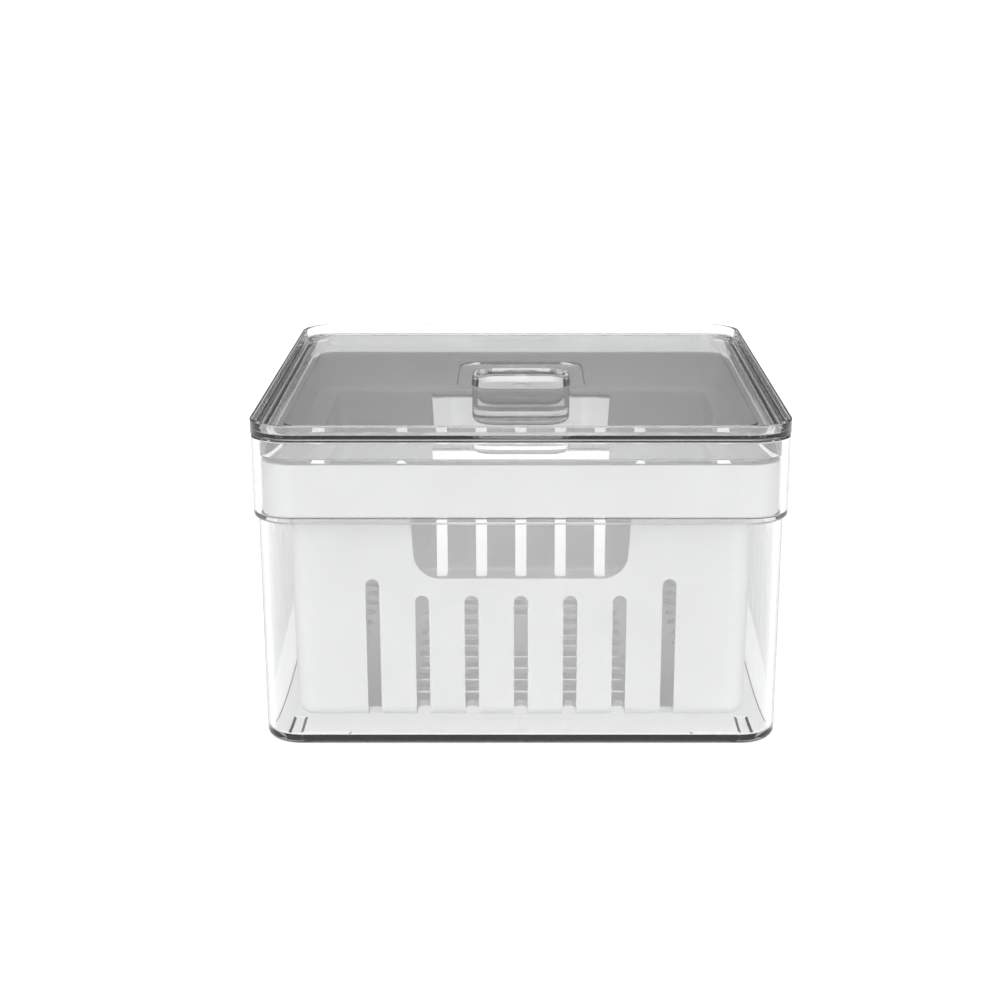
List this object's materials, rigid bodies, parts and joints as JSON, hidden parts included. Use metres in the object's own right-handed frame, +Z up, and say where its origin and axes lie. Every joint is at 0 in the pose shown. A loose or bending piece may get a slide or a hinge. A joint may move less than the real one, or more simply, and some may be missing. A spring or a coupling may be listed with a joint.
{
  "type": "fridge storage bin with colander insert and lid",
  "caption": "Square clear storage bin with a white slotted colander basket that hangs inside it and a clear stacking lid, all lifting apart.",
  "frame": {"origin": "centre of the bin's footprint, on the surface that its feet stand on", "axes": "+Z up, front towards -Y; the part is the same on all four sides"},
  "size_m": [0.1606, 0.1606, 0.1011],
  "materials": {
    "clear_plastic": "clear, polished",
    "white_plastic": "fine satin moulding"
  },
  "bodies": {
    "bin": {"outer_bin": "clear_plastic"},
    "basket": {"colander_basket": "white_plastic"},
    "lid": {"lid": "clear_plastic"}
  },
  "joints": [
    {"name": "basket_lift", "type": "slide", "parent": "bin", "child": "basket", "axis": [0, 0, 1], "range_m": [0, 0.1]},
    {"name": "lid_lift", "type": "slide", "parent": "basket", "child": "lid", "axis": [0, 0, 1], "range_m": [0, 0.06]}
  ]
}
